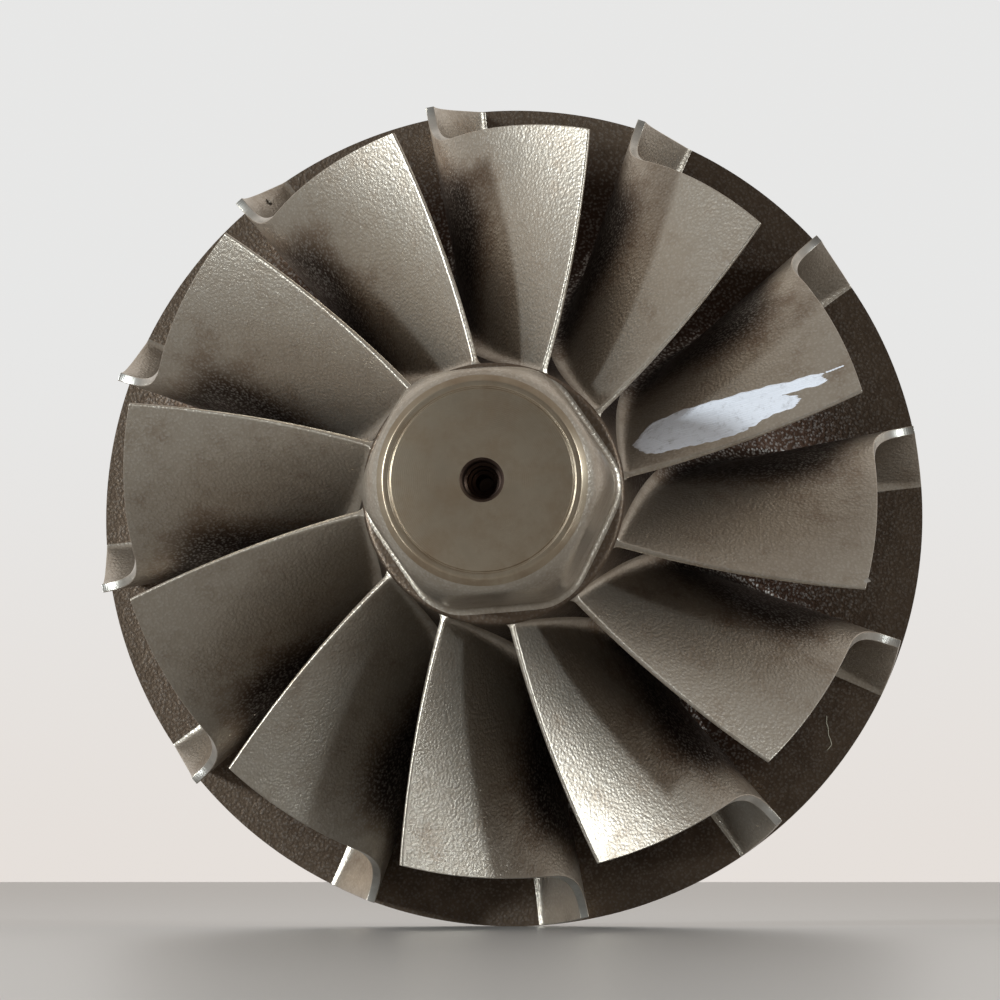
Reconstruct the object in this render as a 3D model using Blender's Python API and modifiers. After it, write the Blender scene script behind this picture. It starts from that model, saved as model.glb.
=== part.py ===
# Turbocharger turbine wheel on its shaft: one investment casting (back plate, hub, twelve blades and
# hexagon nose) and one turned steel shaft behind it. Local Z is the spin axis, towards the nose. Every
# object is then turned so that the nose points along world -Y and world Z is up. Metres throughout.
import math

import bmesh
import bpy

# Wheel, radii and stations along the spin axis, measured from the front face of the rim
BLADES = 12
RIM_RADIUS = 0.0430
RIM_BACK = -0.0026
INLET_RADIUS = 0.04275
INLET_WIDTH = 0.0094
EXIT_RADIUS = 0.0379
EXIT_STATION = 0.0282
EXIT_RISE = 0.0036
SHROUD_CORNER = 0.0070
HUB_EXIT_RADIUS = 0.0129
HUB_EXIT_STATION = 0.0306
HUB_STEPS = 72
ENVELOPE_STEPS = 60
HUB_POINTS = 10

# Back of the wheel
BACK_STEP_RADIUS = 0.0290
BACK_STEP_STATION = -0.0032
WELD_BOSS_RADIUS = 0.0108
WELD_BOSS_ROOT = -0.0048
WELD_STATION = -0.0090

# Blades: angles in degrees, counter-clockwise seen from the nose
FIRST_BLADE = 100.8
INLET_LEAN = -5.5
INLET_LEAN_POWER = 1.7
WRAP = -25.1
WRAP_POWER = 1.9
EXIT_LEAN = -0.5
ROOT_THICKNESS = 0.0023
TIP_THICKNESS = 0.0009
ALONG = 9
ACROSS = 5

# Hexagon nose
LEDGE_RADIUS = 0.0131
LEDGE_STATION = 0.0311
NOSE_STATION = 0.0480
NOSE_FLAT_RADIUS = 0.0092
NOSE_BEVEL_RADIUS = 0.01005
HEX_APOTHEM = 0.0111
HEX_CORNER_RADIUS = 0.0121
FIRST_FLAT = 34.5
CENTRE_HOLE_RADIUS = 0.0019
CENTRE_HOLE_DEPTH = 0.0045
PILOT_RADIUS = 0.0008
PILOT_DEPTH = 0.0080

# Shaft, from the weld to the tail
WELD_GAP = 0.0003
SEAL_RADIUS = 0.0092
SEAL_END = -0.0180
GROOVE_RADIUS = 0.0078
GROOVES = ((-0.0115, -0.0132), (-0.0150, -0.0167))
JOURNAL_RADIUS = 0.0070
RELIEF_RADIUS = 0.0066
JOURNAL_ENDS = (-0.0205, -0.0360, -0.0560, -0.0715)
STEM_RADIUS = 0.0045
STEM_END = -0.1180
THREAD_RADIUS = 0.0040
TAIL_STATION = -0.1370
TAIL_CHAMFER = 0.0009
SHAFT_STEPS = 48


def clear_scene():
    for obj in list(bpy.data.objects):
        bpy.data.objects.remove(obj, do_unlink=True)


def make_collection(name, helpers=False):
    made = bpy.data.collections.new(name)
    bpy.context.scene.collection.children.link(made)
    made.hide_render = helpers
    return made


def metal(name, colour, roughness):
    made = bpy.data.materials.new(name)
    made.use_nodes = True
    shader = made.node_tree.nodes["Principled BSDF"]
    shader.inputs["Base Color"].default_value = (*colour, 1.0)
    shader.inputs["Metallic"].default_value = 1.0
    shader.inputs["Roughness"].default_value = roughness
    return made


def add_object(name, mesh, collection, helper=False):
    obj = bpy.data.objects.new(name, mesh)
    collection.objects.link(obj)
    obj.rotation_euler = (math.pi / 2, 0.0, 0.0)
    if helper:
        obj.hide_render = True
        obj.display_type = "WIRE"
    return obj


# A turned shape: a profile of (radius, station) from top to bottom, carried round by a Screw.
def turned(name, profile, steps, collection, helper=False):
    mesh = bpy.data.meshes.new(name)
    points = [(radius, 0.0, station) for radius, station in profile]
    mesh.from_pydata(points, [(i, i + 1) for i in range(len(points) - 1)], [])
    obj = add_object(name, mesh, collection, helper)
    screw = obj.modifiers.new("Turned", "SCREW")
    screw.axis = "Z"
    screw.angle = 2 * math.pi
    screw.steps = steps
    screw.render_steps = steps
    screw.use_merge_vertices = True
    screw.merge_threshold = 0.000001
    screw.use_smooth_shade = True
    obj.modifiers.new("Triangles", "TRIANGULATE")
    return obj


def boolean(obj, other, operation, name):
    made = obj.modifiers.new(name, "BOOLEAN")
    made.operation = operation
    made.solver = "EXACT"
    made.object = other
    return made


# The hub's flow surface, a quarter ellipse from the rim (share 0) to the blade's exit (share 1).
def hub_point(share):
    turn = math.pi / 2 * max(0.0, min(1.0, share))
    radius = RIM_RADIUS - (RIM_RADIUS - HUB_EXIT_RADIUS) * math.sin(turn)
    station = HUB_EXIT_STATION * (1 - math.cos(turn))
    radius += max(0.0, -share) * 0.04
    station += max(0.0, share - 1) * 0.04
    return radius, station


# The blade's outer edge: square to the inlet, round a short bend, then nearly parallel to the axis.
def shroud_point(share):
    bend = 0.45
    turn = math.pi / 2 * max(0.0, min(1.0, share / bend))
    run = max(0.0, (share - bend) / (1 - bend))
    throat = EXIT_RADIUS + 0.0002
    radius = INLET_RADIUS - (INLET_RADIUS - throat) * math.sin(turn)
    radius += max(0.0, -share) * 0.04 - 0.0002 * min(1.0, run)
    start = INLET_WIDTH + SHROUD_CORNER * (1 - math.cos(turn))
    station = start + (EXIT_STATION - INLET_WIDTH - SHROUD_CORNER) * run
    return radius, station


# The blade's middle surface: its angle at a radius and station, in radians from the inlet's outer corner.
def camber(radius, station):
    below = max(0.0, (INLET_WIDTH - station) / INLET_WIDTH)
    beyond = max(0.0, (station - INLET_WIDTH) / (EXIT_STATION - INLET_WIDTH))
    inward = max(0.0, min(1.2, (EXIT_RADIUS - radius) / (EXIT_RADIUS - HUB_EXIT_RADIUS)))
    rise = max(0.0, station / EXIT_STATION)
    angle = INLET_LEAN * below**INLET_LEAN_POWER
    angle += WRAP * beyond**WRAP_POWER
    angle += EXIT_LEAN * inward * rise
    return math.radians(angle)


def blade_sheet(name, number, collection):
    mesh = bpy.data.meshes.new(name)
    build = bmesh.new()
    start = math.radians(FIRST_BLADE - 360 / BLADES * number)
    rows = []
    for i in range(ALONG + 1):
        along = -0.03 + 1.06 * i / ALONG
        hub_radius, hub_station = hub_point(along)
        tip_radius, tip_station = shroud_point(along)
        row = []
        for j in range(ACROSS + 1):
            across = -0.09 + 1.15 * j / ACROSS
            radius = hub_radius + (tip_radius - hub_radius) * across
            station = hub_station + (tip_station - hub_station) * across
            angle = start + camber(radius, station)
            row.append(build.verts.new((radius * math.cos(angle), radius * math.sin(angle), station)))
        rows.append(row)
    for low, high in zip(rows, rows[1:]):
        for j in range(ACROSS):
            build.faces.new((low[j], high[j], high[j + 1], low[j + 1]))
    build.to_mesh(mesh)
    build.free()
    obj = add_object(name, mesh, collection, helper=True)
    roots = obj.vertex_groups.new(name="root")
    for i in range(ALONG + 1):
        for j in range(ACROSS + 1):
            weight = max(0.0, 1 - j / ACROSS) ** 1.5
            roots.add([i * (ACROSS + 1) + j], weight, "REPLACE")
    solid = obj.modifiers.new("Thickness", "SOLIDIFY")
    solid.thickness = ROOT_THICKNESS
    solid.offset = 0.0
    solid.vertex_group = "root"
    solid.thickness_vertex_group = TIP_THICKNESS / ROOT_THICKNESS
    solid.use_even_offset = True
    obj.modifiers.new("Triangles", "TRIANGULATE")
    return obj


# What the shroud turning leaves: every blade is cut to this envelope.
def shroud_envelope(collection):
    edge = [shroud_point(share / 9) for share in range(9, -1, -1)]
    profile = [(0.0, EXIT_STATION + EXIT_RISE), *edge, (INLET_RADIUS, -0.0015), (0.0, -0.0015)]
    return turned("shroud_envelope", profile, ENVELOPE_STEPS, collection, helper=True)


def hub_profile():
    flow = [hub_point(1 - i / HUB_POINTS) for i in range(HUB_POINTS + 1)]
    return [
        (0.0, LEDGE_STATION + 0.0016),
        (HEX_APOTHEM - 0.0010, LEDGE_STATION + 0.0016),
        (HEX_APOTHEM - 0.0004, LEDGE_STATION + 0.0004),
        (LEDGE_RADIUS - 0.0003, LEDGE_STATION),
        (LEDGE_RADIUS, LEDGE_STATION - 0.0004),
        (LEDGE_RADIUS + 0.0001, LEDGE_STATION - 0.0013),
        *flow,
        (RIM_RADIUS, RIM_BACK),
        (BACK_STEP_RADIUS, RIM_BACK),
        (BACK_STEP_RADIUS - 0.0012, BACK_STEP_STATION),
        (WELD_BOSS_RADIUS + 0.0030, WELD_BOSS_ROOT + 0.0008),
        (WELD_BOSS_RADIUS + 0.0008, WELD_BOSS_ROOT - 0.0004),
        (WELD_BOSS_RADIUS, WELD_BOSS_ROOT - 0.0016),
        (WELD_BOSS_RADIUS, WELD_STATION),
        (0.0, WELD_STATION),
    ]


def nose(collection):
    profile = [
        (0.0, NOSE_STATION),
        (NOSE_FLAT_RADIUS, NOSE_STATION),
        (NOSE_BEVEL_RADIUS, NOSE_STATION - 0.0007),
        (NOSE_BEVEL_RADIUS + 0.0013, NOSE_STATION - 0.0014),
        (HEX_CORNER_RADIUS - 0.0004, NOSE_STATION - 0.0027),
        (HEX_CORNER_RADIUS, NOSE_STATION - 0.0045),
        (HEX_CORNER_RADIUS + 0.0002, LEDGE_STATION - 0.0004),
        (0.0, LEDGE_STATION - 0.0004),
    ]
    obj = turned("nose_blank", profile, HUB_STEPS, collection, helper=True)
    mesh = bpy.data.meshes.new("hexagon")
    build = bmesh.new()
    radius = HEX_APOTHEM / math.cos(math.pi / 6)
    height = NOSE_STATION - LEDGE_STATION + 0.0040
    bmesh.ops.create_cone(
        build, cap_ends=True, segments=6, radius1=radius, radius2=radius, depth=height
    )
    turn = math.radians(FIRST_FLAT + 30)
    for vert in build.verts:
        x, y, z = vert.co
        vert.co.x = x * math.cos(turn) - y * math.sin(turn)
        vert.co.y = x * math.sin(turn) + y * math.cos(turn)
        vert.co.z = z + LEDGE_STATION - 0.0020 + height / 2
    # The cone's first corner lies on +Y, so a corner is brought to FIRST_FLAT + 30 degrees.
    for vert in build.verts:
        x, y = vert.co.x, vert.co.y
        vert.co.x, vert.co.y = y, -x
    build.to_mesh(mesh)
    build.free()
    flats = add_object("hexagon", mesh, collection, helper=True)
    boolean(obj, flats, "INTERSECT", "Flats")
    return obj


def centre_hole(collection):
    above = NOSE_STATION + 0.0010
    profile = [
        (0.0, above),
        (CENTRE_HOLE_RADIUS, above),
        (CENTRE_HOLE_RADIUS, NOSE_STATION - CENTRE_HOLE_DEPTH),
        (PILOT_RADIUS, NOSE_STATION - CENTRE_HOLE_DEPTH - 0.0010),
        (PILOT_RADIUS, NOSE_STATION - PILOT_DEPTH),
        (0.0, NOSE_STATION - PILOT_DEPTH - 0.0004),
    ]
    return turned("centre_hole", profile, 24, collection, helper=True)


def wheel_casting(part, helpers):
    hub = turned("wheel_casting", hub_profile(), HUB_STEPS, part)
    envelope = shroud_envelope(helpers)
    for number in range(BLADES):
        blade = blade_sheet(f"blade_{number + 1:02d}", number, helpers)
        boolean(blade, envelope, "INTERSECT", "Shroud")
        boolean(hub, blade, "UNION", f"Blade {number + 1:02d}")
    boolean(hub, nose(helpers), "UNION", "Nose")
    boolean(hub, centre_hole(helpers), "DIFFERENCE", "Centre hole")
    hub.data.materials.append(metal("cast_superalloy", (0.23, 0.20, 0.17), 0.55))
    return hub


def shaft_profile():
    points = [(0.0, WELD_STATION - WELD_GAP), (SEAL_RADIUS, WELD_STATION - WELD_GAP)]
    for near, far in GROOVES:
        points += [(SEAL_RADIUS, near), (GROOVE_RADIUS, near), (GROOVE_RADIUS, far), (SEAL_RADIUS, far)]
    near, near_end, far, far_end = JOURNAL_ENDS
    points += [
        (SEAL_RADIUS, SEAL_END),
        (RELIEF_RADIUS + 0.0006, SEAL_END),
        (RELIEF_RADIUS, SEAL_END - 0.0008),
        (RELIEF_RADIUS, near),
        (JOURNAL_RADIUS, near - 0.0004),
        (JOURNAL_RADIUS, near_end),
        (RELIEF_RADIUS, near_end - 0.0004),
        (RELIEF_RADIUS, far),
        (JOURNAL_RADIUS, far - 0.0004),
        (JOURNAL_RADIUS, far_end + 0.0005),
        (JOURNAL_RADIUS - 0.0005, far_end),
        (STEM_RADIUS, far_end),
        (STEM_RADIUS, STEM_END),
        (THREAD_RADIUS, STEM_END - 0.0005),
        (THREAD_RADIUS, TAIL_STATION + TAIL_CHAMFER),
        (THREAD_RADIUS - TAIL_CHAMFER, TAIL_STATION),
        (0.0, TAIL_STATION),
    ]
    return points


def rotor_shaft(part):
    shaft = turned("rotor_shaft", shaft_profile(), SHAFT_STEPS, part)
    shaft.data.materials.append(metal("ground_steel", (0.56, 0.56, 0.55), 0.25))
    return shaft


def main():
    clear_scene()
    part = make_collection("turbocharger_turbine_wheel")
    helpers = make_collection("cutters", helpers=True)
    wheel_casting(part, helpers)
    rotor_shaft(part)


main()
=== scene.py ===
"""Looks of a turbocharger turbine wheel on its shaft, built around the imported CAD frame.

Everything is in metres in the frame's own axes: the spin axis is Y, the nose points along -Y and Z is up.
A place on the wheel is given by its radius, its angle (counter-clockwise seen from the nose) and its
station, the distance from the rim's front face towards the nose.
"""

import logging
import math
from collections.abc import Sequence
from dataclasses import dataclass, field
from enum import Enum

import bmesh
import bpy
import numpy as np
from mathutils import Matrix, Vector


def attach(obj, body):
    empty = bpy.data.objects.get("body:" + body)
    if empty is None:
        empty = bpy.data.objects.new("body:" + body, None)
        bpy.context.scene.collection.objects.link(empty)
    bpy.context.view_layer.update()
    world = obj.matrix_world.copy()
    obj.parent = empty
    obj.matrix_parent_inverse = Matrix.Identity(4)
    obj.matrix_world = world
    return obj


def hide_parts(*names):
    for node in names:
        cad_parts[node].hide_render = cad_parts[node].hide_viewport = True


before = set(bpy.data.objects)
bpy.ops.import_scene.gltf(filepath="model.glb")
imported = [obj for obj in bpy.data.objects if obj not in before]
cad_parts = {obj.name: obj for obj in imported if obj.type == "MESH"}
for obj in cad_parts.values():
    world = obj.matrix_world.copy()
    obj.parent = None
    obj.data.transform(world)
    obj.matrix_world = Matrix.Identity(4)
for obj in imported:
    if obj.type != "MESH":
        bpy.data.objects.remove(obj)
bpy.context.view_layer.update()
LOG = logging.getLogger("turbine_wheel")

Array = np.ndarray
Socket = bpy.types.NodeSocket
Colour = tuple[float, float, float]
BODY = "root"


class Slot(Enum):
    """The record's material slots."""

    CAST = "cast_superalloy"
    STEEL = "ground_steel"


class Face(Enum):
    """The two faces of a blade: the one seen from the nose, and the one behind it."""

    SEEN = 1.0
    BEHIND = -1.0


def rounding(distance: Array, radius: float) -> Array:
    """Gives how far a rounded edge or fillet departs from its sharp corner.

    Args:
        distance: Distance from the corner, in metres.
        radius: Radius of the rounding.

    Returns:
        The departure, from the whole radius at the corner to nothing a radius away.
    """
    near = np.clip(radius - distance, 0.0, radius)
    return radius - np.sqrt(radius**2 - near**2)


def ease(share: Array) -> Array:
    """Maps a share smoothly from 0 to 1, level at both ends."""
    share = np.clip(share, 0.0, 1.0)
    return share * share * (3 - 2 * share)


def smooth_least(first: Array, second: Array, softness: float) -> Array:
    """Returns the smaller of two lengths, rounded over where they are nearly the same."""
    share = np.clip(0.5 + 0.5 * (second - first) / softness, 0.0, 1.0)
    return second * (1 - share) + first * share - softness * share * (1 - share)


def place(radius: Array, angle: Array, station: Array) -> Array:
    """Turns wheel places into frame points.

    Args:
        radius: Radii.
        angle: Angles in radians.
        station: Stations along the spin axis.

    Returns:
        Points, with their three coordinates along the last axis.
    """
    radius, angle, station = np.broadcast_arrays(radius, angle, station)
    return np.stack([radius * np.cos(angle), -station, radius * np.sin(angle)], axis=-1)


class Board:
    """Lays the shader nodes of one material or world and links them."""

    def __init__(self, tree: bpy.types.NodeTree) -> None:
        """Starts on a cleared node tree."""
        self.tree = tree
        tree.nodes.clear()

    def node(self, kind: str, inputs: dict[str | int, object] | None = None, **settings: object) -> bpy.types.Node:
        """Adds one node.

        Args:
            kind: Blender's name of the node type.
            inputs: Sockets to link and values to set, by input name or number.
            settings: Properties of the node.

        Returns:
            The new node.
        """
        made = self.tree.nodes.new(kind)
        for name, value in settings.items():
            setattr(made, name, value)
        for key, value in (inputs or {}).items():
            if isinstance(value, bpy.types.NodeSocket):
                self.tree.links.new(value, made.inputs[key])
            elif isinstance(value, tuple) and len(value) == 3 and made.inputs[key].type == "RGBA":
                made.inputs[key].default_value = (*value, 1.0)
            else:
                made.inputs[key].default_value = value
        return made

    def math(self, operation: str, first: object, second: object = 0.0, third: object = 0.0, clamp: bool = False) -> Socket:
        """Adds a Math node and returns its output."""
        made = self.node("ShaderNodeMath", {0: first, 1: second, 2: third}, operation=operation, use_clamp=clamp)
        return made.outputs[0]

    def step(self, value: Socket, low: float, high: float) -> Socket:
        """Maps a value smoothly to 0 at low and 1 at high."""
        made = self.node(
            "ShaderNodeMapRange",
            {"Value": value, "From Min": low, "From Max": high, "To Min": 0.0, "To Max": 1.0},
            interpolation_type="SMOOTHSTEP",
        )
        return made.outputs["Result"]

    def blend(self, share: object, first: object, second: object) -> Socket:
        """Mixes two colours by a share and returns the result."""
        made = self.node("ShaderNodeMix", {0: share, 6: first, 7: second}, data_type="RGBA")
        return made.outputs[2]

    def noise(self, where: Socket, size: float, detail: float = 4.0, rough: float = 0.55) -> Socket:
        """Adds a noise whose lumps are about as large as the given size and returns its value."""
        made = self.node(
            "ShaderNodeTexNoise",
            {"Vector": where, "Scale": 1.0 / size, "Detail": detail, "Roughness": rough},
        )
        return made.outputs["Fac"]


@dataclass(frozen=True)
class Places:
    """Sockets that give the place of a shaded point on the wheel."""

    point: Socket
    radius: Socket
    station: Socket

    @staticmethod
    def on(board: Board) -> "Places":
        """Adds the nodes that give the place, and returns their sockets."""
        point = board.node("ShaderNodeTexCoord").outputs["Object"]
        parts = board.node("ShaderNodeSeparateXYZ", {0: point})
        across = board.math("MULTIPLY", parts.outputs["X"], parts.outputs["X"])
        up = board.math("MULTIPLY", parts.outputs["Z"], parts.outputs["Z"])
        radius = board.math("SQRT", board.math("ADD", across, up))
        station = board.math("MULTIPLY", parts.outputs["Y"], -1.0)
        return Places(point, radius, station)


@dataclass(frozen=True)
class CastSkin:
    """Investment-cast nickel alloy: a fine pebbled skin, grey where gas and hands scour it, brown where it is deep, and
    near-black deeper in the passages, which is partly soot and partly painted shade; the pale specks on the pebble tops
    are partly painted glints.
    """

    name: str = "cast_skin"
    scoured: Colour = (0.49, 0.43, 0.355)
    oxide: Colour = (0.27, 0.195, 0.135)
    # near-black that the skin takes deep in the passages: partly soot, partly painted shade
    soot_and_shade: Colour = (0.022, 0.010, 0.005)
    grain_size: float = 0.00034
    grain_height: float = 0.00003
    speckle_and_glint: float = 0.25
    roughness: float = 0.36

    def material(self) -> bpy.types.Material:
        """Builds the material, which reads the "depth" of each vertex from 0, outside, to 1, deep in a passage."""
        made = bpy.data.materials.new(self.name)
        made.use_nodes = True
        board = Board(made.node_tree)
        places = Places.on(board)
        depth = board.node("ShaderNodeAttribute", attribute_name="depth").outputs["Fac"]
        cells = board.node("ShaderNodeTexVoronoi", {"Vector": places.point, "Scale": 1.0 / self.grain_size})
        fine = board.noise(places.point, self.grain_size * 0.8, 3.0, 0.6)
        grain = board.math("MULTIPLY_ADD", cells.outputs["Distance"], -0.75, fine)
        mottle = board.noise(places.point, 0.0035, 5.0, 0.65)
        cloud = board.noise(places.point, 0.014, 3.0, 0.5)
        worn = board.step(board.math("ADD", mottle, board.math("MULTIPLY", depth, 0.60)), 0.42, 0.95)
        colour = board.blend(worn, self.scoured, self.oxide)
        # painted shade with real soot: the colour falls towards near-black with depth in the passages, broken up by a
        # cloud noise
        deep = board.math("ADD", depth, board.math("MULTIPLY", board.math("SUBTRACT", cloud, 0.5), 0.30))
        colour = board.blend(board.step(deep, 0.15, 0.85), colour, self.soot_and_shade)
        # pale specks on the pebble tops: grain tone, partly a painted glint
        speck_and_glint = board.step(grain, 0.05, 0.42)
        colour = board.blend(board.math("MULTIPLY", speck_and_glint, self.speckle_and_glint), colour, (0.72, 0.69, 0.64))
        gloss = board.math("MULTIPLY_ADD", mottle, 0.22, self.roughness - 0.10)
        bump = board.node(
            "ShaderNodeBump",
            {"Strength": 1.0, "Distance": self.grain_height, "Height": grain},
        )
        shader = board.node(
            "ShaderNodeBsdfPrincipled",
            {
                "Base Color": colour,
                "Metallic": 0.88,
                "Roughness": gloss,
                "Normal": bump.outputs["Normal"],
            },
        )
        board.node("ShaderNodeOutputMaterial", {"Surface": shader.outputs[0]})
        return made


@dataclass(frozen=True)
class TurnedSkin:
    """A face left by the lathe: fine rings about the spin axis, with a film of oxide."""

    name: str
    bright: Colour
    dull: Colour
    ring_pitch: float = 0.00018
    ring_height: float = 0.000006
    roughness: float = 0.32
    tint: Colour = (0.30, 0.20, 0.12)
    tint_share: float = 0.25

    def material(self) -> bpy.types.Material:
        """Builds the material."""
        made = bpy.data.materials.new(self.name)
        made.use_nodes = True
        board = Board(made.node_tree)
        places = Places.on(board)
        along = board.math("ADD", places.radius, places.station)
        turns = board.math("SINE", board.math("MULTIPLY", along, 2 * math.pi / self.ring_pitch))
        drift = board.node(
            "ShaderNodeCombineXYZ",
            {0: board.math("MULTIPLY", places.radius, 9000.0), 1: board.math("MULTIPLY", places.station, 9000.0)},
        )
        uneven = board.node("ShaderNodeTexNoise", {"Vector": drift.outputs[0], "Scale": 1.0, "Detail": 3.0})
        rings = board.math("MULTIPLY_ADD", turns, 0.35, uneven.outputs["Fac"])
        mottle = board.noise(places.point, 0.0030, 5.0, 0.65)
        cloud = board.noise(places.point, 0.0075, 3.0, 0.55)
        colour = board.blend(board.step(mottle, 0.35, 0.72), self.bright, self.dull)
        stain = board.math("MULTIPLY", board.step(cloud, 0.45, 0.75), self.tint_share)
        colour = board.blend(stain, colour, self.tint)
        gloss = board.math("MULTIPLY_ADD", mottle, 0.20, self.roughness - 0.08)
        bump = board.node(
            "ShaderNodeBump",
            {"Strength": 0.9, "Distance": self.ring_height, "Height": rings},
        )
        shader = board.node(
            "ShaderNodeBsdfPrincipled",
            {
                "Base Color": colour,
                "Metallic": 0.95,
                "Roughness": gloss,
                "Normal": bump.outputs["Normal"],
            },
        )
        board.node("ShaderNodeOutputMaterial", {"Surface": shader.outputs[0]})
        return made


@dataclass(frozen=True)
class BrushPaint:
    """White paint put on with a brush, thin enough at its edges to show the metal's grain."""

    name: str = "brush_paint"
    colour: Colour = (0.80, 0.81, 0.86)
    thin: Colour = (0.45, 0.44, 0.45)

    def material(self) -> bpy.types.Material:
        """Builds the material."""
        made = bpy.data.materials.new(self.name)
        made.use_nodes = True
        board = Board(made.node_tree)
        places = Places.on(board)
        streak = board.noise(places.point, 0.0009, 5.0, 0.7)
        colour = board.blend(board.step(streak, 0.50, 0.80), self.colour, self.thin)
        bump = board.node(
            "ShaderNodeBump",
            {"Strength": 0.8, "Distance": 0.00004, "Height": board.noise(places.point, 0.0004)},
        )
        shader = board.node(
            "ShaderNodeBsdfPrincipled",
            {"Base Color": colour, "Metallic": 0.0, "Roughness": 0.55, "Normal": bump.outputs["Normal"]},
        )
        board.node("ShaderNodeOutputMaterial", {"Surface": shader.outputs[0]})
        return made


@dataclass
class Sheet:
    """A grid of points that becomes part of a mesh.

    Attributes:
        points: Points by row and column, with their coordinates last.
        depth: How deep in a passage each point lies, from 0 to 1.
        finish: Number of the piece's material for the faces of this sheet.
    """

    points: Array
    depth: Array
    finish: int = 0


class Piece:
    """One piece of the object: a mesh made from sheets, dressed, and set on its body."""

    def __init__(self, name: str, slot: Slot) -> None:
        """Starts an empty piece.

        Args:
            name: The piece's name.
            slot: The record's slot for the piece; it is kept on the piece and not used.
        """
        self.name = name
        self.slot = slot
        self.points: list[Array] = []
        self.depths: list[Array] = []
        self.faces: list[tuple[int, ...]] = []
        self.finishes: list[int] = []

    def add_points(self, points: Array, depth: Array) -> int:
        """Adds points and returns the number of the first."""
        first = sum(len(group) for group in self.points)
        self.points.append(points.reshape(-1, 3))
        self.depths.append(np.broadcast_to(depth, points.shape[:-1]).reshape(-1))
        return first

    def add_faces(self, faces: Sequence[Sequence[int]] | Array, finish: int = 0) -> None:
        """Adds faces that share one finish."""
        self.faces.extend(tuple(int(v) for v in face) for face in faces)
        self.finishes.extend([finish] * len(faces))

    def add_turned(self, sheet: Sheet) -> tuple[Array, Array]:
        """Adds a sheet whose columns close on themselves round the axis.

        Args:
            sheet: Rows run along the profile and columns go round.

        Returns:
            The numbers of the points in the first and last rows.
        """
        rows, columns = sheet.points.shape[:2]
        number = self.add_points(sheet.points, sheet.depth) + np.arange(rows * columns).reshape(rows, columns)
        beside = np.roll(number, -1, axis=1)
        quads = np.stack([number[:-1], beside[:-1], beside[1:], number[1:]], axis=-1)
        self.add_faces(quads.reshape(-1, 4), sheet.finish)
        return number[0], number[-1]

    def close(self, ring: Array, centre: Array, finish: int = 0, flip: bool = False) -> None:
        """Closes a ring of points with a fan of triangles about a centre."""
        middle = self.add_points(np.asarray(centre, float).reshape(1, 3), np.zeros(1))
        beside = np.roll(ring, -1)
        fan = [(a, b, middle) if flip else (b, a, middle) for a, b in zip(ring, beside)]
        self.add_faces(fan, finish)

    def finish(self, materials: Sequence[bpy.types.Material], sharp: float = 40.0, replaces: str = "") -> bpy.types.Object:
        """Makes the object, shades it, dresses it and sets it on its body.

        Args:
            materials: The piece's materials, in the order that its faces number them.
            sharp: Edges that turn more than this many degrees stay crisp.
            replaces: The CAD node that the piece stands for, if any.

        Returns:
            The object.
        """
        mesh = bpy.data.meshes.new(self.name)
        mesh.from_pydata(np.concatenate(self.points).tolist(), [], self.faces)
        mesh.polygons.foreach_set("material_index", self.finishes)
        mesh.validate()
        solid = bmesh.new()
        solid.from_mesh(mesh)
        bmesh.ops.recalc_face_normals(solid, faces=solid.faces)
        solid.to_mesh(mesh)
        solid.free()
        values = mesh.attributes.new("depth", "FLOAT", "POINT")
        values.data.foreach_set("value", np.concatenate(self.depths).astype(np.float32))
        mesh.shade_smooth()
        mesh.set_sharp_from_angle(angle=math.radians(sharp))
        for material in materials:
            mesh.materials.append(material)
        made = bpy.data.objects.new(self.name, mesh)
        bpy.context.scene.collection.objects.link(made)
        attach(made, BODY)
        if replaces:
            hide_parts(replaces)
        LOG.info("%s: %d faces", self.name, len(mesh.polygons))
        return made


@dataclass(frozen=True)
class FlowPath:
    """The curves between which the gas turns from radial to axial."""

    rim_radius: float = 0.0430
    inlet_radius: float = 0.04275
    inlet_width: float = 0.0094
    exit_radius: float = 0.0379
    exit_station: float = 0.0282
    shroud_corner: float = 0.0070
    corner_share: float = 0.45
    throat_ease: float = 0.0002
    hub_exit_radius: float = 0.0129
    hub_exit_station: float = 0.0306

    def hub(self, share: Array) -> tuple[Array, Array]:
        """Gives the radius and station of the hub's flow surface, from the rim (0) to the exit (1)."""
        turn = np.pi / 2 * np.clip(share, 0.0, 1.0)
        radius = self.rim_radius - (self.rim_radius - self.hub_exit_radius) * np.sin(turn)
        return radius, self.hub_exit_station * (1 - np.cos(turn))

    def shroud(self, share: Array) -> tuple[Array, Array]:
        """Gives the radius and station of the blades' turned outer edge, from the inlet (0) to the exit (1)."""
        turn = np.pi / 2 * np.clip(share / self.corner_share, 0.0, 1.0)
        run = np.clip((share - self.corner_share) / (1 - self.corner_share), 0.0, 1.0)
        throat = self.exit_radius + self.throat_ease
        radius = self.inlet_radius - (self.inlet_radius - throat) * np.sin(turn) - self.throat_ease * run
        start = self.inlet_width + self.shroud_corner * (1 - np.cos(turn))
        return radius, start + (self.exit_station - self.inlet_width - self.shroud_corner) * run


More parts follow.
